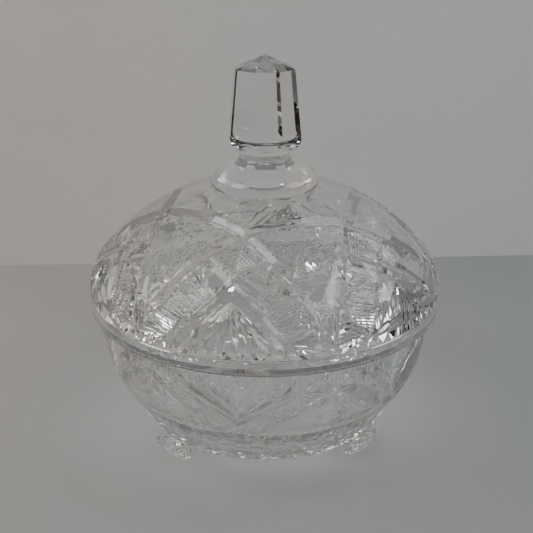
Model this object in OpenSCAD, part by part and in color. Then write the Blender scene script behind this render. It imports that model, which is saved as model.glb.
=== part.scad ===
// Covered glass candy dish: a footed bowl and a loose domed lid with a faceted knob.
// Units are millimetres. +Z is up, the table is z = 0, and the dish's axis is the Z axis.
// The front of the dish faces -Y, with one foot to each side of it and one at the rear.

/* [Rim] */
// Diameter over the rim, which is the widest place of bowl and lid alike
rim_d = 152.4; // [140:0.2:165]
// Height of the seat where the lid rests on the bowl
rim_h = 74.4; // [68:0.2:82]
// Width of the flat ring that the lid rests on
seat_w = 5.2; // [4.6:0.1:6]

/* [Bowl] */
// Height of the plain thick lip round the top of the bowl
lip_h = 6.6; // [5:0.2:9]
// How far the patterned wall steps in below the lip
lip_step = 4.4; // [2:0.2:6]
// Thickness of the patterned wall
wall_t = 5; // [4:0.2:6]
// Height of the lower edge of the patterned wall
skirt_h = 29.4; // [26:0.2:33]
// How far the plain dish below it steps in
skirt_step = 2.4; // [1:0.2:4]
// Radius of the flat base
base_r = 41; // [36:0.5:45]
// Height of the flat base above the table
base_h = 11.4; // [10.4:0.2:13]
// Thickness of the glass at the middle of the base
floor_t = 7; // [6:0.2:8]

/* [Feet] */
// Radius from the axis to the middle of each sole
foot_r = 43.2; // [42:0.2:46]
// Length of a foot, from heel to toe
foot_len = 21; // [19:0.5:22]
// Radius of a foot's rounded plan
foot_round = 10.4; // [9.6:0.2:11]
// Height of the upturned toe
toe_h = 8.6; // [7:0.2:9.4]
// Length of the flat sole
sole_len = 6; // [5:0.5:8]
// Number of shell ribs across a toe
ribs = 5; // [3:2:7]

/* [Lid] */
// Height of the plain upright edge of the lid
edge_h = 2.5; // [2:0.1:4]
// Radius of the lid's rounded shoulder
shoulder_r = 19; // [16:0.5:22]
// Radius of the shallow dome inside the shoulder
dome_r = 92; // [86:1:98]
// Angle through which the shoulder turns
shoulder_a = 39.9; // [38:0.1:42]
// Thickness of the lid's glass
lid_t = 4.8; // [4:0.2:6]
// Depth of the ring under the lid that keeps it on the bowl
ring_h = 3.5; // [3:0.1:4]
// Thickness of that ring
ring_t = 2.6; // [2:0.1:4]
// Gap all round between that ring and the bowl's mouth
ring_gap = 0.8; // [0.4:0.1:1.2]

/* [Knob] */
// Radius of the rounded base of the knob
bun_r = 22.6; // [21.6:0.2:24]
// Radius of the rounding at the edge of that base
bun_edge_r = 5.5; // [4.5:0.1:6]
// Radius of the domed top of that base
bun_top_r = 22; // [20:0.5:24]
// Radius of the neck
neck_r = 10.5; // [9.5:0.1:11.5]
// Height of the neck above the base's foot
neck_h = 13.3; // [13:0.1:14.4]
// Half the width over the finial's corners at its widest
finial_r = 15.8; // [14.4:0.1:17]
// Half that width at the finial's shoulder
finial_top_r = 13; // [11:0.1:14]
// Radius of the bell that widens from the neck to the finial
bell_r = 6.2; // [5.4:0.1:7]
// Height of the widest place of the finial above the base's foot
finial_low = 22; // [21:0.2:24]
// Height of the finial's shoulder above the base's foot
finial_high = 48.3; // [44:0.2:50]
// Height of the pointed crown above the base's foot
apex_h = 54; // [51:0.2:57]
// Number of side faces of the finial
faces = 8; // [6:1:10]

// Angle of the finial's front face from the front of the dish
knob_turn = 1.7; // [-22.5:0.1:22.5]

/* [Hidden] */
$fn = 96;
rim_r = rim_d / 2;
mouth_r = rim_r - seat_w;
body_r = rim_r - lip_step;
skirt_r = 60.6 * rim_r / 76.2;
ring_r = mouth_r - ring_gap;
dome_flat_r = bun_r + 0.4;
glass = [0.80, 0.84, 0.85, 0.45];
glass_knob = [0.74, 0.79, 0.81, 0.55];

// A point on a circle: centre c, radius r, angle a from the +r direction.
function on_arc(c, r, a) = [c[0] + r * cos(a), c[1] + r * sin(a)];

// Points along an arc from angle a0 to angle a1 in n steps.
function arc(c, r, a0, a1, n) = [for (i = [0 : n]) on_arc(c, r, a0 + (a1 - a0) * i / n)];

// Radius of the patterned wall at a share t of the way down from under the lip.
function wall_r(t) = skirt_r + (body_r - skirt_r) * (1 - 0.25 * t - 0.75 * pow(t, 3.2));

// Height at the same share t.
function wall_z(t) = (rim_h - lip_h - 2) * (1 - t) + skirt_h * t;

// The patterned wall from top to bottom, moved inwards by g.
function wall_line(g, n, last = 1) =
    [for (i = [0 : n]) [wall_r(last * i / n) - g, wall_z(last * i / n)]];

// The lid's shoulder and dome, moved inwards by g.
shoulder_c = [rim_r - shoulder_r, rim_h + edge_h];
dome_c = [
    shoulder_c[0] - (dome_r - shoulder_r) * cos(shoulder_a),
    shoulder_c[1] - (dome_r - shoulder_r) * sin(shoulder_a)
];
function dome_angle(r, g) = acos((r - dome_c[0]) / (dome_r - g));
function dome_line(r_end, g, a0) = concat(
    arc(shoulder_c, shoulder_r - g, a0, shoulder_a, 8),
    arc(dome_c, dome_r - g, shoulder_a + 0.5, dome_angle(r_end, g), 16)
);
lid_top = on_arc(dome_c, dome_r, dome_angle(dome_flat_r, 0))[1];

// Outline of the bowl's outside, closed along the axis, without the hollow.
module bowl_outline() {
    lip_z = rim_h - lip_h;
    polygon(concat(
        [[0, rim_h], [rim_r, rim_h]],
        arc([rim_r - 2, lip_z + 2], 2, 0, -60, 4),
        wall_line(0, 14),
        [[skirt_r - skirt_step, skirt_h - 4.2]],
        arc([base_r + 1.6, base_h + 16.6], 15.4, -24, -76, 8),
        [[base_r, base_h + 1.6], [base_r, base_h], [0, base_h]]
    ));
}

// Outline of the hollow inside the bowl.
module bowl_hollow_outline() {
    floor_z = base_h + floor_t;
    polygon(concat(
        [[0, rim_h + 1], [mouth_r, rim_h + 1], [mouth_r, rim_h - ring_h - 1.6]],
        wall_line(wall_t, 12, 0.86),
        arc([40, floor_z + 13], 12.4, -22, -86, 7),
        [[0, floor_z]]
    ));
}

module bowl() {
    color(glass)
    difference() {
        rotate_extrude() bowl_outline();
        rotate_extrude() bowl_hollow_outline();
    }
}

// Side view of one foot: heel, flat sole and upturned shell toe.
module foot_side() {
    heel = foot_r - foot_len / 2 + 1.4;
    toe = foot_r + foot_len / 2 + 1.2;
    polygon(concat(
        [[heel, base_h + 6], [heel, 4]],
        arc([foot_r - sole_len / 2, 4], 4, 200, 270, 4),
        [[foot_r + sole_len / 2, 0]],
        arc([foot_r + sole_len / 2, 8], 8, 280, 325, 4),
        [[toe, toe_h - 1.6]],
        arc([toe - 1.8, toe_h - 1.7], 1.7, 10, 100, 3),
        [[foot_r + 6, base_h + 2.4], [foot_r + 6, base_h + 10]]
    ));
}

// One foot, pointing to the front before it is turned by the angle a.
module foot(a) {
    rotate([0, 0, a])
    color(glass)
    difference() {
        intersection() {
            rotate([90, 0, -90])
            translate([0, 0, -foot_round])
            linear_extrude(2 * foot_round) foot_side();
            translate([0, -foot_r - 0.8, -1])
            cylinder(r = foot_round, h = base_h + 22);
        }
        for (i = [1 : ribs - 1]) rib_groove(i - ribs / 2);
        rotate_extrude() bowl_outline();
    }
}

// A shallow groove between two ribs of a toe, at the place s from the middle.
module rib_groove(s) {
    spread = 9;
    translate([0, -foot_r - 2, toe_h - 0.4])
    rotate([0, 0, s * spread])
    translate([s * 2.2, -foot_round * 0.62, 0])
    rotate([82, 0, 0])
    cylinder(r = 0.9, h = foot_round * 1.4, center = true, $fn = 24);
}

module left_foot() {
    foot(-60);
}

module right_foot() {
    foot(60);
}

module rear_foot() {
    foot(180);
}

// Outline of the lid's glass, with the ring that drops into the bowl's mouth.
module lid_outline() {
    inner_r = ring_r - ring_t;
    start_a = acos((inner_r - shoulder_c[0]) / (shoulder_r - lid_t));
    polygon(concat(
        [[rim_r, rim_h], [rim_r, rim_h + edge_h]],
        dome_line(dome_flat_r, 0, 4),
        [[0, lid_top], [0, dome_c[1] + dome_r - lid_t]],
        [for (p = arc(dome_c, dome_r - lid_t, dome_angle(4, lid_t), shoulder_a, 16)) p],
        arc(shoulder_c, shoulder_r - lid_t, shoulder_a + 1, start_a, 2),
        [[inner_r, rim_h - ring_h], [ring_r, rim_h - ring_h], [ring_r, rim_h]]
    ));
}

module lid() {
    color(glass)
    rotate_extrude() lid_outline();
}

// Outline of the knob's turned shape, before its faces are cut.
module knob_outline() {
    edge_c = [bun_r - bun_edge_r, 0.9];
    bend = 50;
    top_c = edge_c - (bun_top_r - bun_edge_r) * [cos(bend), sin(bend)];
    polygon(concat(
        [[0, 0]],
        arc(edge_c, bun_edge_r, -9, bend, 6),
        arc(top_c, bun_top_r, bend + 4, bend + 22.8, 5),
        arc([neck_r + 3.4, neck_h], 3.4, 235, 180, 5),
        [[neck_r - 0.1, neck_h + 0.6]],
        arc([finial_r + 0.2 - bell_r, finial_low - 1.8], bell_r, -78, 0, 7),
        [[finial_r + 0.2, finial_low + 1], [finial_top_r + 0.4, finial_high]],
        [[0, apex_h + 1]]
    ));
}

// Takes off everything beyond one flat face that leans by the angle lean.
// The face passes the distance d from the axis at the height z.
module cut_face(a, d, z, lean) {
    rotate([0, 0, a])
    translate([0, -d, z])
    rotate([-lean, 0, 0])
    translate([-30, -60, -80])
    cube([60, 60, 160]);
}

module knob() {
    step = 360 / faces;
    flat = cos(step / 2);
    side_lean = atan((finial_r - finial_top_r) * flat / (finial_high - finial_low));
    crown_lean = 90 - atan((apex_h - finial_high) / (finial_top_r * flat));
    translate([0, 0, lid_top])
    rotate([0, 0, knob_turn])
    color(glass_knob)
    difference() {
        rotate_extrude() knob_outline();
        difference() {
            for (i = [0 : faces - 1]) cut_face(i * step, finial_r * flat, finial_low, side_lean);
            translate([0, 0, neck_h + 0.4 - 60]) cylinder(r = 60, h = 60);
        }
        for (i = [0 : faces - 1]) {
            intersection() {
                cut_face(i * step, finial_top_r * flat, finial_high, crown_lean);
                translate([0, 0, finial_high - 8]) cylinder(r = 60, h = 60);
            }
        }
    }
}

bowl();
left_foot();
right_foot();
rear_foot();
lid();
knob();
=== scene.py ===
import math
import random

import bmesh
import bpy
import numpy as np
from mathutils import Matrix, Vector
from mathutils.geometry import delaunay_2d_cdt


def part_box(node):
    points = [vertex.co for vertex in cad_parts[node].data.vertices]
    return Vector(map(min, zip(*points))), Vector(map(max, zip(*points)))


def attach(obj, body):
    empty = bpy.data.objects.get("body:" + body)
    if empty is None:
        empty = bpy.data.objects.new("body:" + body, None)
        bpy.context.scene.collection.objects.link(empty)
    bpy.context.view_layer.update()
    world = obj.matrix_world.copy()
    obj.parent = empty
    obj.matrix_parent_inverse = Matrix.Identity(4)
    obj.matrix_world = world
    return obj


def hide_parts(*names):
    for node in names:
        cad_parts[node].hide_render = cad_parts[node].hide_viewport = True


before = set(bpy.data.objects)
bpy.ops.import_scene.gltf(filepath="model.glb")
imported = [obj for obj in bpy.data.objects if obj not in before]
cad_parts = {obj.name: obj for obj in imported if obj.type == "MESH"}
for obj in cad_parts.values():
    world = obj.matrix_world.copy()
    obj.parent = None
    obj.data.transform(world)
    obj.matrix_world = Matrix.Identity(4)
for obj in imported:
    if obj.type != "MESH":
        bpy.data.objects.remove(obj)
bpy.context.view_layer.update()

# ---------------------------------------------------------------- sizes
# Everything below is in millimetres until a mesh is made.
MM = 0.001


def node_box(name):
    """Lowest and highest corner of a CAD node, in millimetres."""
    low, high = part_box(name)
    return [c / MM for c in low], [c / MM for c in high]


bowl_low, bowl_high = node_box("bowl")
knob_low, knob_high = node_box("knob")

rim_r = bowl_high[0]
rim_h = bowl_high[2]
base_h = bowl_low[2]
lid_top = knob_low[2]
apex_h = knob_high[2]

# the same values as the solids were made from
bun_r = 22.6
seat_w = 5.2
lip_h = 6.6
lip_step = 4.4
wall_t = 5.0
skirt_h = 29.4
skirt_r = 60.6
skirt_step = 2.4
base_r = 41.0
floor_t = 7.0
edge_h = 2.5
shoulder_r = 19.0
shoulder_a = 39.9
dome_r = 92.0
lid_t = 4.8
ring_h = 3.5
ring_t = 2.6
ring_gap = 0.8

# degrees round the axis, from the front of the dish
lid_turn = -13.6
bowl_turn = -12.2
camera_turn = -3.0

# edges that bend more than this many degrees stay sharp
crease = 11

mouth_r = rim_r - seat_w
ring_r = mouth_r - ring_gap
body_r = rim_r - lip_step

SECTORS = 6
HALF_SECTOR = 180 / SECTORS
STEPS = 12
AROUND = 2 * SECTORS * STEPS
# spacing of the plain points between the cuts, and how clear of the cuts they stay
FILL_PITCH = 2.9
FILL_CLEAR = 1.3


# ---------------------------------------------------------------- outlines
def arc(centre, radius, start, end, n):
    """Points (r, z) along an arc, angles in degrees from the +r direction."""
    angles = [math.radians(start + (end - start) * i / n) for i in range(n + 1)]
    return [(centre[0] + radius * math.cos(a), centre[1] + radius * math.sin(a)) for a in angles]


class Outline:
    """A smooth outline (r, z) that can be asked for the place at a distance along it."""

    def __init__(self, points):
        self.points = np.array(points, float)
        steps = np.hypot(*np.diff(self.points, axis=0).T)
        self.along = np.concatenate([[0], np.cumsum(steps)])
        self.length = self.along[-1]

    def at(self, s):
        """Radius, height and outward normal at the distance s."""
        s = np.clip(s, 0, self.length)
        r = np.interp(s, self.along, self.points[:, 0])
        z = np.interp(s, self.along, self.points[:, 1])
        d = 0.4
        r0, r1 = (np.interp(np.clip(s + k, 0, self.length), self.along, self.points[:, 0]) for k in (-d, d))
        z0, z1 = (np.interp(np.clip(s + k, 0, self.length), self.along, self.points[:, 1]) for k in (-d, d))
        tr, tz = r1 - r0, z1 - z0
        size = np.hypot(tr, tz)
        return r, z, -tz / size, tr / size

    def where_radius(self, r):
        """The distance along an outline whose radius only grows."""
        return np.interp(r, self.points[:, 0], self.along)


shoulder_c = (rim_r - shoulder_r, rim_h + edge_h)
dome_c = (
    shoulder_c[0] - (dome_r - shoulder_r) * math.cos(math.radians(shoulder_a)),
    shoulder_c[1] - (dome_r - shoulder_r) * math.sin(math.radians(shoulder_a)),
)
pad_r = bun_r + 0.4
# height of the plain edge under the lid's pattern, and the air between lid and seat
seam = 0.4
air = 0.1


def dome_angle(r, inward):
    return math.degrees(math.acos((r - dome_c[0]) / (dome_r - inward)))


def lid_line(inward, inner_r, first_angle, last_step=120):
    """The lid's dome and shoulder from inner_r outwards, moved inwards."""
    dome = arc(dome_c, dome_r - inward, dome_angle(inner_r, inward), shoulder_a, last_step)
    shoulder = arc(shoulder_c, shoulder_r - inward, shoulder_a, first_angle, last_step // 2)
    return dome + shoulder[1:]


def s_bend(start, end, n):
    """A soft step between two levels, upright at its start and its end."""
    shares = [i / n for i in range(n + 1)]
    across, up = end[0] - start[0], end[1] - start[1]
    return [(start[0] + across * (3 * k * k - 2 * k**3), start[1] + up * k) for k in shares]


def wall_r(t):
    """Radius of the bowl's wall at a share t of the way down."""
    return skirt_r + (body_r - skirt_r) * (1 - 0.25 * t - 0.75 * t**3.2)


def wall_z(t):
    """Height of the bowl's wall at the same share."""
    return (rim_h - lip_h - 2) * (1 - t) + skirt_h * t


# ---------------------------------------------------------------- cut patterns
class Board:
    """One half sector of cut glass, drawn flat.

    Cuts are laid as lines and depths on the flat board, the board is cut into
    triangles along the lines, and every corner is then lifted to the glass.
    lift() turns flat points and their depths into points in space, and fade() is 0
    where the glass stays plain.
    """

    def __init__(self, edge, lift, fade, seed):
        self.edge = edge
        self.lift = lift
        self.fade = fade
        self.points = []
        self.lines = []
        self.depths = {}
        self.fields = []
        self.random = random.Random(seed)
        self.add_loop([tuple(p) for p in edge])

    def add_loop(self, loop):
        first = len(self.points)
        self.points += loop
        n = len(loop)
        self.lines += [(first + i, first + (i + 1) % n) for i in range(n)]

    def open_at(self, p):
        """Whether a cut may reach this flat point: it stays clear of the plain edges."""
        return self.fade(np.array([p]))[0] > 0

    def add_line(self, line):
        """Lays a line, cut back where it runs into a plain edge."""
        run = [tuple(line[0])] if self.open_at(line[0]) else []
        for a, b in zip(line[:-1], line[1:]):
            a_open, b_open = self.open_at(a), self.open_at(b)
            if a_open and b_open:
                run.append(tuple(b))
            elif a_open:
                self.lay(run + [self.edge_crossing(a, b)])
                run = []
            elif b_open:
                run = [self.edge_crossing(b, a), tuple(b)]
        self.lay(run)

    def lay(self, run):
        first = len(self.points)
        self.points += run
        self.lines += [(first + i, first + i + 1) for i in range(len(run) - 1)]

    def edge_crossing(self, inner, outer):
        """The last open point on the way from an open point to a closed one."""
        inner, outer = np.array(inner, float), np.array(outer, float)
        for _ in range(12):
            middle = (inner + outer) / 2
            if self.open_at(middle):
                inner = middle
            else:
                outer = middle
        return tuple(inner)

    def v_cut(self, line, half_width, depth):
        """A V cut along a flat line."""
        line = np.array(line, float)
        along = np.gradient(line, axis=0)
        along /= np.linalg.norm(along, axis=1)[:, None]
        side = np.stack([-along[:, 1], along[:, 0]], 1) * half_width
        for shifted in (line, line + side, line - side):
            self.add_line(shifted)
        self.fields.append(lambda p: depth * np.clip(1 - line_distance(p, line) / half_width, 0, 1))

    def fan(self, focus, cell, start, end, rays, slope, depth, first=1.4):
        """Pleats that spread from a focus between two directions, inside a cell."""
        focus = np.array(focus, float)
        step = (end - start) / rays
        for i in range(2 * rays + 1):
            a = start + step * i / 2
            way = np.array([math.cos(a), math.sin(a)])
            far = exit_distance(focus + way * first, way, cell)
            if far:
                n = max(1, int(far / 5))
                self.add_line([focus + way * (first + far * k / n) for k in range(n + 1)])

        def field(p):
            away = p - focus
            reach = np.hypot(away[:, 0], away[:, 1])
            turn = np.arctan2(away[:, 1], away[:, 0])
            turn = start + (turn - start + math.pi) % (2 * math.pi) - math.pi
            t = (turn - start) / step
            pleat = 1 - np.abs(2 * (t - np.floor(t)) - 1)
            inside = (t > -0.001) & (t < rays + 0.001) & in_cell(p, cell)
            return np.where(inside, pleat * np.minimum(slope * reach, depth), 0)

        self.fields.append(field)

    def hatch(self, cell, way, pitch, depth):
        """Fine parallel V cuts across a cell."""
        way = np.array(way, float) / np.linalg.norm(way)
        across = np.array([-way[1], way[0]])
        places = cell @ across
        low, high = places.min(), places.max()
        count = max(1, round((high - low) / pitch))
        step = (high - low) / count
        for i in range(1, 2 * count):
            for a, b in crossings(across * (low + step * i / 2), way, cell):
                if b - a > 0.8:
                    ends = (across * (low + step * i / 2) + way * k for k in (a + 0.2, b - 0.2))
                    self.add_line(list(ends))

        def field(p):
            t = (p @ across - low) / step
            pleat = 1 - np.abs(2 * (t - np.floor(t)) - 1)
            return np.where(in_cell(p, cell), depth * pleat, 0)

        self.fields.append(field)

    def pebble(self, cell, pitch, depth):
        """A close crackle of small pits and bumps inside a cell."""
        low, high = cell.min(0), cell.max(0)
        spots = []
        for i in range(int((high[0] - low[0]) / pitch) + 1):
            for j in range(int((high[1] - low[1]) / (pitch * 0.87)) + 1):
                x = low[0] + pitch * (i + 0.5 * (j % 2)) + self.random.uniform(-0.2, 0.2) * pitch
                y = low[1] + pitch * 0.87 * j + self.random.uniform(-0.2, 0.2) * pitch
                spots.append((x, y, self.random.uniform(0, 1) ** 1.3))
        spots = np.array(spots)
        kept = spots[in_cell(spots[:, :2], cell)]
        for x, y, share in kept:
            if self.open_at((x, y)):
                self.depths[len(self.points)] = depth * share
                self.points.append((x, y))

    def depth_at(self, p):
        deepest = np.zeros(len(p))
        for field in self.fields:
            deepest = np.maximum(deepest, field(p))
        return deepest

    def fill(self, pitch, clear):
        """Plain points between the cuts, to follow the curve of the glass."""
        taken = np.array(self.points)
        low, high = self.edge.min(0), self.edge.max(0)
        for i in range(int((high[0] - low[0]) / pitch) + 1):
            for j in range(int((high[1] - low[1]) / (pitch * 0.87)) + 1):
                p = np.array([low[0] + pitch * (i + 0.5 * (j % 2)), low[1] + pitch * 0.87 * j])
                inside = in_cell(p[None], self.edge)[0] and self.open_at(p)
                if inside and np.hypot(*(taken - p).T).min() > clear:
                    self.points.append(tuple(p))

    def triangles(self):
        """Corners in space and triangles of this half sector."""
        count = len(self.points)
        verts, _, faces, origin, _, _ = delaunay_2d_cdt(
            [Vector(p) for p in self.points], self.lines, [], 0, 1e-4, True
        )
        flat = np.array([tuple(v) for v in verts])
        depth = self.depth_at(flat)
        for i, sources in enumerate(origin):
            for source in sources:
                if source < count and source in self.depths:
                    depth[i] = max(depth[i], self.depths[source])
        depth *= self.fade(flat)
        faces = np.array([f for f in faces if len(f) == 3])
        centre = flat[faces].mean(1)
        faces = faces[in_cell(centre, self.edge)]
        a, b, c = (flat[faces[:, k]] for k in range(3))
        turned = np.cross(b - a, c - a)
        faces = faces[np.abs(turned) > 1e-7]
        return self.lift(flat, depth), faces


def line_distance(p, line):
    """Distance from each point to a broken line."""
    best = np.full(len(p), 1e9)
    for a, b in zip(line[:-1], line[1:]):
        ab = b - a
        t = np.clip(((p - a) @ ab) / (ab @ ab), 0, 1)
        best = np.minimum(best, np.hypot(*(p - a - t[:, None] * ab).T))
    return best


def in_cell(p, cell):
    """Whether each point lies in a closed cell."""
    inside = np.zeros(len(p), bool)
    for a, b in zip(cell, np.roll(cell, -1, 0)):
        if a[1] == b[1]:
            continue
        spans = (a[1] > p[:, 1]) != (b[1] > p[:, 1])
        x = a[0] + (p[:, 1] - a[1]) * (b[0] - a[0]) / (b[1] - a[1])
        inside ^= spans & (p[:, 0] < x)
    return inside


def crossings(start, way, cell):
    """Stretches (from, to) of an endless line that lie inside a cell."""
    found = []
    for a, b in zip(cell, np.roll(cell, -1, 0)):
        d = b - a
        det = way[0] * -d[1] + way[1] * d[0]
        if abs(det) < 1e-9:
            continue
        q = a - start
        t = (q[0] * -d[1] + q[1] * d[0]) / det
        s = (way[0] * q[1] - way[1] * q[0]) / det
        if 0 <= s < 1:
            found.append(t)
    found.sort()
    return list(zip(found[::2], found[1::2]))


def exit_distance(start, way, cell):
    """How far a ray runs before it leaves the cell."""
    if not in_cell(start[None], cell)[0]:
        return 0
    return min((t for pair in crossings(start, way, cell) for t in pair if t > 0), default=0)


def toward(a, b, share):
    """The point at a share of the way from a to b."""
    a, b = np.array(a, float), np.array(b, float)
    return a + (b - a) * share


def angle_to(a, b):
    return math.atan2(b[1] - a[1], b[0] - a[0])


def straight(a, b, step=2.2):
    """Points along a straight line."""
    n = max(2, int(math.ceil(math.hypot(b[0] - a[0], b[1] - a[1]) / step)))
    return np.array([toward(a, b, i / n) for i in range(n + 1)])


def meeting(a, b, c, d):
    """Where the endless lines a-b and c-d meet."""
    a, b, c, d = (np.array(p, float) for p in (a, b, c, d))
    ab, cd = b - a, d - c
    share = ((c - a)[0] * cd[1] - (c - a)[1] * cd[0]) / (ab[0] * cd[1] - ab[1] * cd[0])
    return a + ab * share


def star_and_fan(board, key):
    """The cuts of one half sector.

    key names flat points: tip (star point), cross (where the wide ribbons cross on the
    fan's axis), inner (where the narrow ribbons cross), side (where a narrow ribbon ends
    on a wide one), edge (outer end of a narrow ribbon), hub (foot of the hexagon side),
    corner (outer end of the fan's axis), focus, near and far (middles of the big fan and
    of the two small ones). relief scales every depth.
    """
    relief = key["relief"]
    names = ("tip", "cross", "inner", "side", "edge", "hub", "focus", "near", "far")
    tip, cross, inner, side, edge, hub, focus, near, far = (np.array(key[n], float) for n in names)
    rim = key["along_rim"]
    narrow = straight(inner, edge)
    stub = straight(inner, side)

    big_fan = np.vstack([narrow, rim(edge, key["corner"])[1:], straight(key["corner"], inner)[1:-1]])
    strip = np.vstack([
        straight(side, tip), rim(tip, edge)[1:], straight(edge, inner)[1:], straight(inner, side)[1:-1],
    ])
    diamond = np.array([cross, side, inner])
    kite = np.vstack([straight(cross, tip), straight(tip, hub)[1:], straight(hub, cross)[1:-1]])

    # big fan: half of it lies in this half sector, so its middle ridge is on the axis
    middle = angle_to(inner, key["corner"])
    last = nearest_turn(angle_to(focus, edge), middle)
    board.fan(focus, big_fan, middle, last, rays=5, slope=0.10 * relief, depth=1.5 * relief)

    # two small fans along the strip, with a hatch between them
    first = angle_to(near, toward(side, inner, 0.1))
    last = nearest_turn(angle_to(near, toward(side, tip, 0.50)), first)
    board.fan(near, strip, first, last, rays=5, slope=0.11 * relief, depth=0.9 * relief, first=1.0)
    first = angle_to(far, toward(side, tip, 0.66))
    last = nearest_turn(angle_to(far, toward(tip, edge, 0.62)), first)
    board.fan(far, strip, first, last, rays=6, slope=0.11 * relief, depth=0.9 * relief, first=1.0)
    patch = np.array([
        toward(side, tip, 0.52), toward(side, tip, 0.64), toward(far, toward(side, tip, 0.64), 0.12),
        toward(toward(inner, edge, 0.78), far, 0.3), toward(toward(inner, edge, 0.3), near, 0.3),
        toward(near, toward(side, tip, 0.52), 0.12),
    ])
    way = toward(side, tip, 0.58) - toward(inner, edge, 0.6)
    board.hatch(patch, way, pitch=1.25, depth=0.18 * relief)

    # diamond: fine hatch along the wide ribbon
    board.hatch(diamond, side - cross, pitch=1.4, depth=0.16 * relief)

    # star point: crackle with a short fan from the tip
    top = toward(tip, hub, 0.02)
    first = angle_to(top, hub)
    point = np.array([top, toward(tip, cross, 0.30), toward(tip, hub, 0.26)])
    last = nearest_turn(angle_to(top, toward(tip, cross, 0.5)), first)
    board.fan(top, point, first, last, rays=2, slope=0.08 * relief, depth=0.6 * relief, first=1.0)
    point_reach = 11.0
    shrunk = kite + (kite.mean(0) - kite) * 0.10
    shrunk = shrunk[np.hypot(*(shrunk - top).T) > point_reach]
    board.pebble(shrunk, pitch=1.5, depth=0.14 * relief)

    for line in (straight(cross, tip), straight(cross, hub)):
        board.v_cut(line, half_width=2.4, depth=1.0 * relief)
    for line in (narrow, stub):
        board.v_cut(line, half_width=1.9, depth=0.75 * relief)


def nearest_turn(angle, reference):
    """The same direction, within half a turn of the reference."""
    return reference + (angle - reference + math.pi) % (2 * math.pi) - math.pi


def polar(angle, r):
    a = math.radians(angle)
    return np.array([r * math.cos(a), r * math.sin(a)])


# ---------------------------------------------------------------- the lid's cut dome
def lid_board():
    """The lid's dome, rolled out flat round the knob: distances from it stay true."""
    top = Outline(lid_line(0, pad_r, 0) + [(rim_r, rim_h + seam)])
    start = 30.0
    end = start + top.length

    def place(angle, r):
        return polar(angle, start + top.where_radius(r))

    def lift(flat, depth):
        reach = np.hypot(flat[:, 0], flat[:, 1])
        r, z, nr, nz = top.at(reach - start)
        r, z = r - nr * depth, z - nz * depth
        return np.stack([r * flat[:, 0] / reach, r * flat[:, 1] / reach, z], 1)

    def fade(flat):
        return np.clip((end - 0.3 - np.hypot(flat[:, 0], flat[:, 1])) / 1.0, 0, 1)

    def along_rim(a, b):
        a, b = (math.degrees(math.atan2(p[1], p[0])) for p in (a, b))
        return np.array([polar(a + (b - a) * i / 8, end) for i in range(9)])

    sides = np.linspace(start, end, 28)
    angles = [HALF_SECTOR * i / STEPS for i in range(STEPS + 1)]
    border = [polar(a, start) for a in angles]
    border += [polar(HALF_SECTOR, s) for s in sides[1:-1]]
    border += [polar(a, end) for a in angles[::-1]]
    border += [polar(0, s) for s in sides[1:-1][::-1]]
    board = Board(np.array(border), lift, fade, 11)

    cross, inner = place(0, 44.1), place(0, 61.4)
    tip, edge = polar(HALF_SECTOR, end), polar(19.2, end)
    star_and_fan(board, {
        "tip": tip,
        "cross": cross,
        "inner": inner,
        "side": meeting(edge * (1, -1), inner, cross, tip),
        "edge": edge,
        "hub": place(HALF_SECTOR, 38.2),
        "corner": polar(0, end),
        "focus": place(0, 67.6),
        "near": place(10, 64.6),
        "far": polar(17.6, end - 5.6),
        "along_rim": along_rim,
        "relief": 1.1,
    })
    board.fill(FILL_PITCH, FILL_CLEAR)
    return board


def bowl_side():
    """The bowl's outside from under the lip to the base."""
    wall = [(wall_r(t), wall_z(t)) for t in np.linspace(0, 1, 160)]
    step = s_bend((skirt_r, skirt_h), (skirt_r - skirt_step, skirt_h - 4.2), 10)
    return wall + step[1:] + arc((base_r + 1.6, base_h + 16.6), 15.4, -24, -70, 16)


def bowl_board():
    """The bowl's outside, unrolled: x runs round, y runs down from under the lip."""
    wall = Outline(bowl_side())
    skirt = wall.along[159]
    width = math.radians(HALF_SECTOR) * 70.0

    def lift(flat, depth):
        angle = flat[:, 0] / width * math.radians(HALF_SECTOR)
        r, z, nr, nz = wall.at(flat[:, 1])
        r, z = r + nr * depth, z + nz * depth
        return np.stack([r * np.cos(angle), r * np.sin(angle), z], 1)

    def fade(flat):
        return np.clip(np.minimum(flat[:, 1] - 0.3, wall.length - 0.3 - flat[:, 1]) / 0.9, 0, 1)

    across = np.linspace(0, width, STEPS + 1)
    down = np.linspace(0, wall.length, 23)
    border = [(x, 0) for x in across] + [(width, y) for y in down[1:-1]]
    border += [(x, wall.length) for x in across[::-1]] + [(0, y) for y in down[1:-1][::-1]]
    board = Board(np.array(border, float), lift, fade, 5)

    high, low = 5.5, skirt - 5.5
    tip, cross, inner = np.array([(width, high + 1.5), (0, low), (0, low - 8.5)])
    edge = meeting(inner, inner + tip - cross, (0, high), (width, high))
    star_and_fan(board, {
        "tip": tip,
        "cross": cross,
        "inner": inner,
        "side": meeting(edge * (-1, 1), inner, cross, tip),
        "edge": edge,
        "hub": (width, low + 2.0),
        "corner": (0, high),
        "focus": (0, low - 11.5),
        "near": (11.5, low - 14.5),
        "far": (24.8, high + 3.2),
        "along_rim": lambda a, b: np.array([a, b], float),
        "relief": 0.8,
    })
    # below the ribbons' crossing, rays run down to the base
    end = wall.length - 1.5
    apron = np.array([(0, low + 1.5), (width, low + 3.5), (width, end), (0, end)])
    board.fan((0, low), apron, math.pi / 2, 0.2, rays=7, slope=0.07, depth=1.0, first=1.0)
    teeth = np.array([(0.2, 0.5), (width - 0.2, 0.5), (width - 0.2, 2.3), (0.2, 2.3)])
    board.hatch(teeth, (0, 1), pitch=1.3, depth=0.3)
    board.fill(FILL_PITCH, FILL_CLEAR)
    return board


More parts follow.
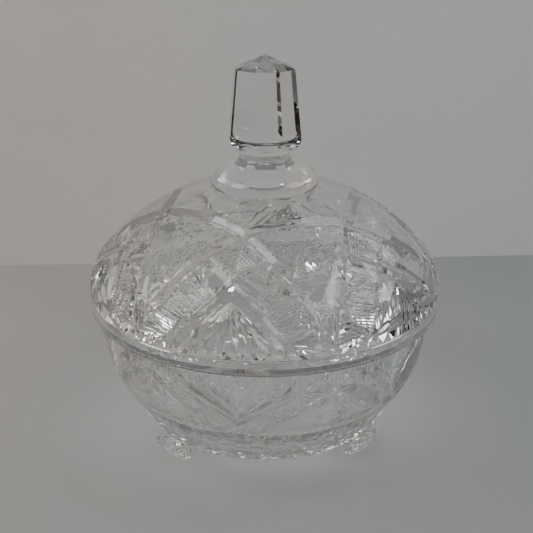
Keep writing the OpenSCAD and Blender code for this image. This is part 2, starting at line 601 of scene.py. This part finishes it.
# ---------------------------------------------------------------- putting meshes together
class Shell:
    """Collects the corners and faces of one piece of glass."""

    def __init__(self):
        self.points = []
        self.faces = []
        self.count = 0

    def add(self, points, faces):
        self.points.append(np.asarray(points, float))
        self.faces += [tuple(int(i) + self.count for i in f) for f in faces]
        self.count += len(points)

    def add_sectors(self, board, turn):
        points, faces = board.triangles()
        for k in range(SECTORS):
            for flip in (1, -1):
                a = math.radians(turn + 2 * HALF_SECTOR * k - 90)
                x, y = points[:, 0], points[:, 1] * flip
                c, s = math.cos(a), math.sin(a)
                turned = np.stack([x * c - y * s, x * s + y * c, points[:, 2]], 1)
                self.add(turned, faces if flip == 1 else faces[:, ::-1])

    def add_turned(self, outline, turn, close_end=False):
        """Spins an outline of (r, z) round the axis."""
        angles = [math.radians(turn - 90 + 360 * i / AROUND) for i in range(AROUND)]
        points = [(r * math.cos(a), r * math.sin(a), z) for r, z in outline for a in angles]
        faces = []
        for j in range(len(outline) - 1):
            for i in range(AROUND):
                n = (i + 1) % AROUND
                here, above = j * AROUND, (j + 1) * AROUND
                faces.append((here + i, here + n, above + n, above + i))
        if close_end:
            points.append((0, 0, outline[-1][1]))
            last = (len(outline) - 1) * AROUND
            faces += [(last + i, last + (i + 1) % AROUND, len(points) - 1) for i in range(AROUND)]
        self.add(points, faces)

    def to_bmesh(self):
        bm = bmesh.new()
        verts = [bm.verts.new(p * MM) for p in np.vstack(self.points)]
        for f in self.faces:
            bm.faces.new([verts[i] for i in f])
        bmesh.ops.remove_doubles(bm, verts=bm.verts, dist=4e-6)
        bmesh.ops.dissolve_degenerate(bm, edges=bm.edges, dist=2e-6)
        bmesh.ops.recalc_face_normals(bm, faces=bm.faces)
        return bm


def make_object(name, bm, material):
    mesh = bpy.data.meshes.new(name)
    bm.to_mesh(mesh)
    bm.free()
    mesh.shade_smooth()
    mesh.set_sharp_from_angle(angle=math.radians(crease))
    mesh.materials.append(material)
    obj = bpy.data.objects.new(name, mesh)
    bpy.context.collection.objects.link(obj)
    return obj


# ---------------------------------------------------------------- the knob
neck_r, neck_low, neck_high = 10.5, 13.3, 13.9
finial_r, finial_top_r = 15.8, 13.0
finial_low, finial_high = 22.0, 48.3
bell_r, bell_h = 6.2, 20.2
bun_edge_r, bun_top_r, bun_bend = 5.5, 22.0, 50
knob_faces = 8
knob_turn = 1.7


def knob_base_outline():
    """Domed base with a hollow collar, up to the narrowest part of the neck."""
    edge_c = (bun_r - bun_edge_r, 0.9)
    bend = math.radians(bun_bend)
    back = bun_top_r - bun_edge_r
    top_c = (edge_c[0] - back * math.cos(bend), edge_c[1] - back * math.sin(bend))
    points = arc(edge_c, bun_edge_r, -9, bun_bend, 12) + arc(top_c, bun_top_r, bun_bend, 72.8, 10)[1:]
    points += arc((neck_r + 3.4, neck_low), 3.4, 235, 180, 8)
    return [(pad_r, 0)] + points


def finial(turn):
    """The upper part of the knob: a bell that is ground to flat sides and a low pointed crown."""
    spin = Shell()
    outline = [(neck_r, neck_low), (neck_r - 0.1, neck_high)]
    outline += arc((finial_r + 0.2 - bell_r, bell_h), bell_r, -78, 0, 14)
    outline += [(finial_r + 0.2, finial_low + 1), (finial_top_r + 0.4, finial_high)]
    outline += [(0.6, apex_h - lid_top + 2)]
    spin.add_turned([(r, z + lid_top) for r, z in outline], lid_turn, close_end=True)
    bm = spin.to_bmesh()
    flat = math.cos(math.pi / knob_faces)
    lean_side = math.atan((finial_r - finial_top_r) * flat / (finial_high - finial_low))
    tall = apex_h - lid_top
    lean_crown = math.pi / 2 - math.atan((tall - finial_high) / (finial_top_r * flat))
    cuts = (
        (finial_r * flat, finial_low, lean_side),
        (finial_top_r * flat, finial_high, lean_crown),
    )
    for k in range(knob_faces):
        a = math.radians(turn - 90 + 360 * k / knob_faces)
        out = Vector((math.cos(a), math.sin(a), 0))
        for reach, height, lean in cuts:
            normal = out * math.cos(lean) + Vector((0, 0, math.sin(lean)))
            place = (out * reach + Vector((0, 0, height + lid_top))) * MM
            cut = bmesh.ops.bisect_plane(
                bm, geom=bm.verts[:] + bm.edges[:] + bm.faces[:], plane_co=place, plane_no=normal,
                dist=1e-7, clear_outer=True,
            )
            rim = [e for e in cut["geom_cut"] if isinstance(e, bmesh.types.BMEdge) and e.is_boundary]
            if rim:
                bmesh.ops.contextual_create(bm, geom=rim)
    return bm


# ---------------------------------------------------------------- pieces of glass
def make_lid(material, knob_material):
    shell = Shell()
    shell.add_sectors(lid_board(), lid_turn)
    inner_r = ring_r - ring_t
    inner_turn = math.degrees(math.acos((inner_r - shoulder_c[0]) / (shoulder_r - lid_t)))
    under = [(rim_r, rim_h + seam), (rim_r, rim_h + 2 * air)]
    under += [(rim_r - 0.1, rim_h + air), (ring_r, rim_h + air)]
    under += [(ring_r, rim_h - ring_h + 0.5), (ring_r - 0.5, rim_h - ring_h)]
    under += [(inner_r + 0.5, rim_h - ring_h), (inner_r, rim_h - ring_h + 0.5)]
    inside = lid_line(lid_t, 1.0, inner_turn, 40)
    under += inside[::-1]
    shell.add_turned(under, lid_turn, close_end=True)
    shell.add_turned([(r, z + lid_top) for r, z in knob_base_outline()], lid_turn)
    bm = finial(knob_turn)
    body = shell.to_bmesh()
    whole = bpy.data.meshes.new("lid_body")
    body.to_mesh(whole)
    body.free()
    bm.from_mesh(whole)
    bpy.data.meshes.remove(whole)
    bmesh.ops.remove_doubles(bm, verts=bm.verts, dist=4e-6)
    bmesh.ops.triangulate(bm, faces=[f for f in bm.faces if len(f.verts) > 4])
    bmesh.ops.recalc_face_normals(bm, faces=bm.faces)
    lid = make_object("lid_with_knob", bm, material)
    lid.data.materials.append(knob_material)
    for face in lid.data.polygons:
        if face.center.z > (lid_top + 0.05) * MM:
            face.material_index = 1
    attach(lid, "lid_body")
    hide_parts("lid", "knob")
    return lid


def make_bowl(material, foot_material, rim_material):
    shell = Shell()
    shell.add_sectors(bowl_board(), bowl_turn)
    lip_z = rim_h - lip_h
    lip = [(mouth_r, rim_h - 0.4), (mouth_r + 0.4, rim_h), (rim_r - 0.15, rim_h), (rim_r, rim_h - 0.15)]
    lip += [(rim_r, lip_z + 0.3), (rim_r - 0.3, lip_z)]
    lip += s_bend((wall_r(0) + 0.6, lip_z - 0.3), (wall_r(0), wall_z(0)), 4)
    floor_z = base_h + floor_t
    low = bowl_side()[-1:] + arc((base_r + 1.6, base_h + 16.6), 15.4, -70, -76, 3)[1:]
    low += arc((base_r - 1.4, base_h + 1.6), 1.6, 0, -90, 5)
    low += s_bend((base_r - 3.4, base_h), (base_r - 7.4, base_h + 1.2), 6)
    low += [(1.0, base_h + 1.2)]
    hollow = [(wall_r(0.86 * t) - wall_t, wall_z(0.86 * t)) for t in np.linspace(0, 1, 18)]
    inside = [(mouth_r, rim_h - 0.4), (mouth_r, rim_h - ring_h - 1.6)] + hollow
    inside += arc((40, floor_z + 13), 12.4, -22, -86, 12) + [(20, floor_z + 0.1), (1.0, floor_z)]
    shell.add_turned(lip, bowl_turn)
    shell.add_turned(low, bowl_turn, close_end=True)
    shell.add_turned(inside, bowl_turn, close_end=True)
    bm = shell.to_bmesh()
    bowl = make_object("bowl_with_feet", bm, material)
    for name, turn in (("left", -60), ("right", 60), ("rear", 180)):
        foot = make_foot(name, turn)
        join = bowl.modifiers.new(name, "BOOLEAN")
        join.operation = "UNION"
        join.solver = "MANIFOLD"
        join.object = foot
        apply_modifiers(bowl)
        bpy.data.objects.remove(foot)
    bowl.data.shade_smooth()
    bowl.data.set_sharp_from_angle(angle=math.radians(crease))
    bowl.data.materials.clear()
    bowl.data.materials.append(material)
    bowl.data.materials.append(foot_material)
    bowl.data.materials.append(rim_material)
    for face in bowl.data.polygons:
        low = face.center.z < (base_h - 0.05) * MM
        high = face.center.z > (lip_z - 0.35) * MM
        face.material_index = 1 if low else 2 if high else 0
    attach(bowl, "bowl_body")
    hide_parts("bowl", "left_foot", "right_foot", "rear_foot")
    return bowl


def apply_modifiers(obj):
    """Bakes the modifiers of an object into its mesh."""
    graph = bpy.context.evaluated_depsgraph_get()
    mesh = bpy.data.meshes.new_from_object(obj.evaluated_get(graph))
    old = obj.data
    obj.modifiers.clear()
    obj.data = mesh
    mesh.name = old.name
    bpy.data.meshes.remove(old)


def make_foot(name, turn):
    """A small shell foot: it comes down from the base and curls out to a ribbed toe."""
    stations = [
        # reach, height, half width, half thickness, lean of the section
        (41.0, 17.0, 8.0, 5.4, 90),
        (40.8, 11.5, 8.4, 5.4, 90),
        (41.2, 7.4, 8.8, 5.0, 84),
        (42.4, 4.0, 8.6, 4.6, 60),
        (44.4, 3.0, 8.8, 4.1, 20),
        (47.6, 5.0, 9.6, 3.3, 34),
        (51.2, 7.0, 9.2, 2.5, 46),
        (54.4, 9.0, 7.4, 1.4, 56),
    ]
    ring = 40
    ribs = 5
    points, faces = [], []
    for j, (reach, height, half_w, half_t, lean) in enumerate(stations):
        lean = math.radians(lean)
        fade = min(1, max(0, (j - 2) / 2))
        for i in range(ring):
            a = 2 * math.pi * i / ring
            x = half_w * math.copysign(abs(math.cos(a)) ** 0.8, math.cos(a))
            y = half_t * math.sin(a)
            wave = math.cos(math.pi * ribs * x / half_w)
            y *= 1 + 0.30 * fade * wave
            points.append((x, reach - y * math.sin(lean), height + y * math.cos(lean)))
    for j in range(len(stations) - 1):
        for i in range(ring):
            n = (i + 1) % ring
            faces.append((j * ring + i, j * ring + n, (j + 1) * ring + n, (j + 1) * ring + i))
    faces.append(tuple(range(ring)))
    faces.append(tuple(range((len(stations) - 1) * ring, len(stations) * ring)))
    bm = bmesh.new()
    verts = [bm.verts.new((x * MM, -y * MM, z * MM)) for x, y, z in points]
    for f in faces:
        bm.faces.new([verts[i] for i in f])
    bmesh.ops.recalc_face_normals(bm, faces=bm.faces)
    mesh = bpy.data.meshes.new("foot")
    bm.to_mesh(mesh)
    bm.free()
    mesh.transform(Matrix.Rotation(math.radians(turn), 4, "Z"))
    foot = bpy.data.objects.new("foot_" + name, mesh)
    bpy.context.collection.objects.link(foot)
    smooth = foot.modifiers.new("smooth", "SUBSURF")
    smooth.levels = smooth.render_levels = 2
    apply_modifiers(foot)
    for v in foot.data.vertices:
        v.co.z = max(v.co.z, 0)
    return foot


# ---------------------------------------------------------------- materials
glass_ior = 1.53
# light that has met more surfaces than this is let out of the glass
longest_path = 8.5


def put(tree, socket, value):
    """Sets a socket to a value, or joins it to another node's output."""
    if isinstance(value, (int, float, tuple)):
        socket.default_value = value
    else:
        tree.links.new(value, socket)


def maths(tree, operation, a, b):
    node = tree.nodes.new("ShaderNodeMath")
    node.operation = operation
    put(tree, node.inputs[0], a)
    put(tree, node.inputs[1], b)
    return node.outputs["Value"]


def blend(tree, share, a, b):
    """A colour between a and b."""
    node = tree.nodes.new("ShaderNodeMix")
    node.data_type = "RGBA"
    put(tree, node.inputs["Factor"], share)
    put(tree, node.inputs["A"], a)
    put(tree, node.inputs["B"], b)
    return node.outputs["Result"]


def wear_group():
    """Slow waves from fire polishing, tiny pits, faint smears and a breath of colour."""
    group = bpy.data.node_groups.new("glass_skin", "ShaderNodeTree")
    face = group.interface
    face.new_socket("Wave Height", in_out="INPUT", socket_type="NodeSocketFloat")
    face.new_socket("Pit Height", in_out="INPUT", socket_type="NodeSocketFloat")
    face.new_socket("Smear", in_out="INPUT", socket_type="NodeSocketFloat")
    face.new_socket("Color", in_out="OUTPUT", socket_type="NodeSocketColor")
    face.new_socket("Roughness", in_out="OUTPUT", socket_type="NodeSocketFloat")
    face.new_socket("Height", in_out="OUTPUT", socket_type="NodeSocketFloat")
    nodes, links = group.nodes, group.links
    into, out = nodes.new("NodeGroupInput"), nodes.new("NodeGroupOutput")
    place = nodes.new("ShaderNodeTexCoord")

    def noise(scale, detail):
        node = nodes.new("ShaderNodeTexNoise")
        node.inputs["Scale"].default_value = scale
        node.inputs["Detail"].default_value = detail
        links.new(place.outputs["Object"], node.inputs["Vector"])
        return node.outputs["Fac"]

    waves = maths(group, "MULTIPLY", noise(85, 1), into.outputs["Wave Height"])
    pits = maths(group, "MULTIPLY", noise(1400, 2), into.outputs["Pit Height"])
    links.new(maths(group, "ADD", waves, pits), out.inputs["Height"])

    smears = nodes.new("ShaderNodeMapRange")
    smears.inputs["From Min"].default_value = 0.45
    smears.inputs["From Max"].default_value = 0.75
    links.new(noise(38, 4), smears.inputs["Value"])
    rough = maths(group, "MULTIPLY", smears.outputs["Result"], into.outputs["Smear"])
    links.new(maths(group, "ADD", rough, 0.004), out.inputs["Roughness"])
    tint = blend(group, noise(22, 2), (0.982, 0.988, 0.984, 1), (0.966, 0.974, 0.968, 1))
    links.new(tint, out.inputs["Color"])
    return group


def clear_glass(name, skin, wave, pit, smear, mirrorings, caught_light):
    """Clear pressed glass.

    Light that is still inside after some mirrorings, or after a long path, is let out
    straight on, dimmed once to caught_light. This dim is painted shade: it is set per piece
    to make the same glass darker or lighter. Light on its way to a lamp passes as well.
    """
    material = bpy.data.materials.new(name)
    material.use_nodes = True
    tree = material.node_tree
    nodes, links = tree.nodes, tree.links
    shader = nodes["Principled BSDF"]
    shader.inputs["Transmission Weight"].default_value = 1.0
    shader.inputs["IOR"].default_value = glass_ior
    surface = nodes.new("ShaderNodeGroup")
    surface.node_tree = skin
    surface.inputs["Wave Height"].default_value = wave
    surface.inputs["Pit Height"].default_value = pit
    surface.inputs["Smear"].default_value = smear
    bump = nodes.new("ShaderNodeBump")
    bump.inputs["Strength"].default_value = 1.0
    bump.inputs["Distance"].default_value = MM
    links.new(surface.outputs["Height"], bump.inputs["Height"])
    links.new(bump.outputs["Normal"], shader.inputs["Normal"])
    links.new(surface.outputs["Roughness"], shader.inputs["Roughness"])
    links.new(surface.outputs["Color"], shader.inputs["Base Color"])

    path = nodes.new("ShaderNodeLightPath")
    often = maths(tree, "GREATER_THAN", path.outputs["Glossy Depth"], mirrorings)
    long = maths(tree, "GREATER_THAN", path.outputs["Ray Depth"], longest_path)
    caught = maths(tree, "MAXIMUM", often, long)
    let_through = maths(tree, "MAXIMUM", caught, path.outputs["Is Shadow Ray"])
    later = maths(tree, "MULTIPLY", path.outputs["Transparent Depth"], caught)
    later.node.use_clamp = True
    # painted shade: light caught in the glass comes out darkened to caught_light, a value set per piece
    dim = blend(tree, caught, (0.86, 0.87, 0.86, 1), (caught_light, caught_light, caught_light, 1))
    once = blend(tree, later, dim, (0.98, 0.98, 0.98, 1))
    clear = nodes.new("ShaderNodeBsdfTransparent")
    links.new(once, clear.inputs["Color"])
    pick = nodes.new("ShaderNodeMixShader")
    links.new(let_through, pick.inputs["Fac"])
    links.new(shader.outputs["BSDF"], pick.inputs[1])
    links.new(clear.outputs["BSDF"], pick.inputs[2])
    links.new(pick.outputs["Shader"], nodes["Material Output"].inputs["Surface"])
    return material


def plain_card(name, warm, cool, seen_through=False):
    """A matt studio surface with faint mottling. Its colour runs from warm on the left to cool on the
    right: painted light from warm and cool side lamps. seen_through hides its back.
    """
    material = bpy.data.materials.new(name)
    material.use_nodes = True
    tree = material.node_tree
    nodes, links = tree.nodes, tree.links
    shader = nodes["Principled BSDF"]
    shader.inputs["Roughness"].default_value = 0.75
    place = nodes.new("ShaderNodeTexCoord")
    split = nodes.new("ShaderNodeSeparateXYZ")
    across = nodes.new("ShaderNodeMapRange")
    across.inputs["From Min"].default_value = -0.16
    across.inputs["From Max"].default_value = 0.16
    cloud = nodes.new("ShaderNodeTexNoise")
    cloud.inputs["Scale"].default_value = 14
    cloud.inputs["Detail"].default_value = 4
    faint = nodes.new("ShaderNodeMapRange")
    faint.inputs["To Min"].default_value = 0.96
    faint.inputs["To Max"].default_value = 1.04
    mottle = nodes.new("ShaderNodeVectorMath")
    mottle.operation = "SCALE"
    links.new(place.outputs["Object"], split.inputs["Vector"])
    links.new(split.outputs["X"], across.inputs["Value"])
    # painted light: the colour runs from warm at the left to cool at the right, over 16 cm each side of the
    # middle
    painted_light_tone = blend(tree, across.outputs["Result"], (*warm, 1), (*cool, 1))
    links.new(place.outputs["Object"], cloud.inputs["Vector"])
    links.new(cloud.outputs["Fac"], faint.inputs["Value"])
    links.new(painted_light_tone, mottle.inputs[0])
    links.new(faint.outputs["Result"], mottle.inputs["Scale"])
    links.new(mottle.outputs["Vector"], shader.inputs["Base Color"])
    if seen_through:
        clear = nodes.new("ShaderNodeBsdfTransparent")
        side = nodes.new("ShaderNodeNewGeometry")
        pick = nodes.new("ShaderNodeMixShader")
        links.new(side.outputs["Backfacing"], pick.inputs["Fac"])
        links.new(shader.outputs["BSDF"], pick.inputs[1])
        links.new(clear.outputs["BSDF"], pick.inputs[2])
        links.new(pick.outputs["Shader"], nodes["Material Output"].inputs["Surface"])
    return material


# ---------------------------------------------------------------- the studio
def make_stage():
    """A round table top, and an upright backdrop behind the dish."""
    bm = bmesh.new()
    bmesh.ops.create_circle(bm, cap_ends=True, radius=3.0, segments=96)
    mesh = bpy.data.meshes.new("table_top")
    bm.to_mesh(mesh)
    bm.free()
    # painted shade: the table is darker and cooler on the right, as if lit from the left with the dish's
    # shadow falling to the right
    mesh.materials.append(plain_card("pale_table", (0.315, 0.30, 0.29), (0.24, 0.254, 0.264)))
    table = bpy.data.objects.new("table_top", mesh)
    bpy.context.collection.objects.link(table)

    behind, half_width, height = 0.212, 1.6, 1.1
    points = [(x, behind, z) for z in (0.0002, height) for x in (-half_width, half_width)]
    mesh = bpy.data.meshes.new("backdrop")
    mesh.from_pydata(points, [], [(0, 1, 3, 2)])
    # painted light: the backdrop is warm on the left and cool on the right, as from the warm lamp on the
    # left and the cool one on the right
    warm, cool = (0.79, 0.735, 0.69), (0.80, 0.81, 0.81)
    mesh.materials.append(plain_card("pale_backdrop", warm, cool, seen_through=True))
    backdrop = bpy.data.objects.new("backdrop", mesh)
    bpy.context.collection.objects.link(backdrop)


def add_lamp(name, place, size, power, color, aim=(0, 0, 0.09)):
    data = bpy.data.lights.new(name, "AREA")
    data.shape = "RECTANGLE"
    data.size, data.size_y = size
    data.energy = power
    data.color = color
    lamp = bpy.data.objects.new(name, data)
    lamp.location = place
    lamp.rotation_euler = (Vector(aim) - Vector(place)).to_track_quat("-Z", "Y").to_euler()
    bpy.context.collection.objects.link(lamp)


def make_light():
    """A pale room with three dark patches, two broad soft lamps and two small ones."""
    world = bpy.data.worlds.new("room")
    bpy.context.scene.world = world
    world.use_nodes = True
    tree = world.node_tree
    nodes, links = tree.nodes, tree.links
    back = nodes["Background"]
    back.inputs["Strength"].default_value = 1.0
    place = nodes.new("ShaderNodeTexCoord")
    color = (0.38, 0.38, 0.378, 1)
    # each dark patch: its direction, and the cosines of its outer and inner reach
    dark_patches = (
        ((0.1, -0.92, 0.38), 0.80, 0.93),
        ((0.95, -0.2, 0.25), 0.80, 0.90),
        ((-0.6, -0.55, 0.75), 0.93, 0.97),
    )
    for way, outer, inner in dark_patches:
        away = nodes.new("ShaderNodeVectorMath")
        away.operation = "DOT_PRODUCT"
        away.inputs[1].default_value = Vector(way).normalized()
        dark = nodes.new("ShaderNodeMapRange")
        dark.interpolation_type = "SMOOTHSTEP"
        dark.inputs["From Min"].default_value = outer
        dark.inputs["From Max"].default_value = inner
        links.new(place.outputs["Generated"], away.inputs[0])
        links.new(away.outputs["Value"], dark.inputs["Value"])
        color = blend(tree, dark.outputs["Result"], color, (0.02, 0.019, 0.018, 1))
    links.new(color, back.inputs["Color"])
    add_lamp("warm_side", (-1.1, -0.3, 1.2), (0.9, 0.9), 13, (1, 0.96, 0.92))
    add_lamp("cool_side", (1.2, -0.2, 1.2), (0.9, 0.9), 9, (0.94, 0.98, 1))
    add_lamp("lamp_left", (-0.5, -0.5, 1.6), (0.09, 0.09), 2.5, (1, 0.98, 0.95))
    add_lamp("lamp_right", (0.6, -0.1, 1.6), (0.09, 0.09), 2.0, (0.95, 0.98, 1))


def make_camera():
    reach, height, pitch, lens_px = 350.0, 222.1, 21.95, 851.2
    data = bpy.data.cameras.new("camera")
    data.sensor_width = 36
    data.lens = lens_px / 533 * data.sensor_width
    data.clip_start = 0.01
    camera = bpy.data.objects.new("camera", data)
    side = math.radians(camera_turn)
    camera.location = (reach * math.sin(side) * MM, -reach * math.cos(side) * MM, height * MM)
    camera.rotation_euler = (math.radians(90 - pitch), 0, side - math.radians(0.128))
    bpy.context.collection.objects.link(camera)
    bpy.context.scene.camera = camera


skin = wear_group()
# One clear glass in five copies. They differ a little in waves, pits, smears and mirrorings, and mostly in
# caught_light, which is painted shade and light: the feet and the knob are made dark, the rim light, and
# the lid and the bowl in between.
cut_glass = clear_glass("cut_glass", skin, 0.03, 0.001, 0.03, mirrorings=2.5, caught_light=0.50)
bowl_glass = clear_glass("bowl_glass", skin, 0.03, 0.001, 0.03, mirrorings=2.5, caught_light=0.62)
foot_glass = clear_glass("foot_glass", skin, 0.06, 0.002, 0.02, mirrorings=3.5, caught_light=0.12)
rim_glass_painted_light = clear_glass("rim_glass_painted_light", skin, 0.02, 0.001, 0.02, mirrorings=2.5, caught_light=0.92)
knob_glass_painted_shade = clear_glass("knob_glass_painted_shade", skin, 0.02, 0.001, 0.02, mirrorings=3.5, caught_light=0.14)
make_lid(cut_glass, knob_glass_painted_shade)
make_bowl(bowl_glass, foot_glass, rim_glass_painted_light)
make_stage()
make_light()
make_camera()
